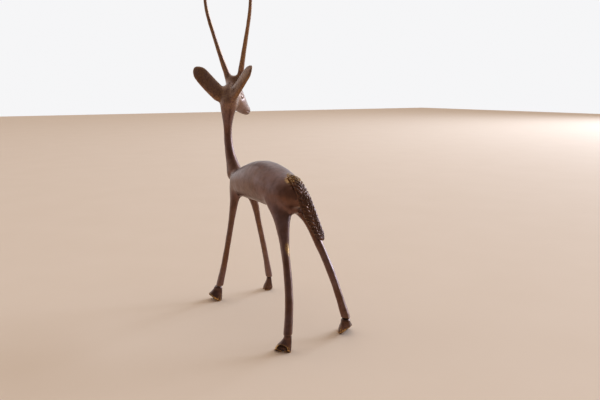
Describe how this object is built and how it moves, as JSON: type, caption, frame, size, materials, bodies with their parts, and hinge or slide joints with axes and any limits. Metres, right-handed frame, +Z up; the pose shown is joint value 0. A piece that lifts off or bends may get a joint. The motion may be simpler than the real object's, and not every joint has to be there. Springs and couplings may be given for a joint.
{
  "type": "antelope statuette",
  "caption": "Small patinated cast-bronze antelope standing on slender splayed legs, head turned back over its shoulder, with long slim horns, broad ears and a cut tail.",
  "frame": {"origin": "on the ground, under the middle of the whole figure's box", "axes": "+Z up, -Y the way the body faces, +X the antelope's own left"},
  "size_m": [0.0496, 0.122, 0.211],
  "materials": {
    "patina": "dark brown patinated bronze, satin and waxed, with warm brown thin places and a faint purplish sheen",
    "rubbed": "dark brown patina rubbed through to golden metal along the edges and cuts",
    "bare_rod": "bare drawn bronze rod"
  },
  "bodies": {
    "root": {"torso": "patina", "neck": "patina", "head": "patina", "ear_left": "patina", "ear_right": "patina", "horn_left": "patina", "horn_right": "patina", "tail": "rubbed", "leg_hind_left": "patina", "leg_hind_right": "patina", "leg_front_left": "patina", "leg_front_right": "patina", "hoof_hind_left": "rubbed", "hoof_hind_right": "rubbed", "hoof_front_left": "rubbed", "hoof_front_right": "rubbed", "neck_rod": "bare_rod", "head_rod": "bare_rod", "leg_rod_hind_left": "bare_rod", "leg_rod_hind_right": "bare_rod", "leg_rod_front_left": "bare_rod", "leg_rod_front_right": "bare_rod"}
  },
  "joints": []
}
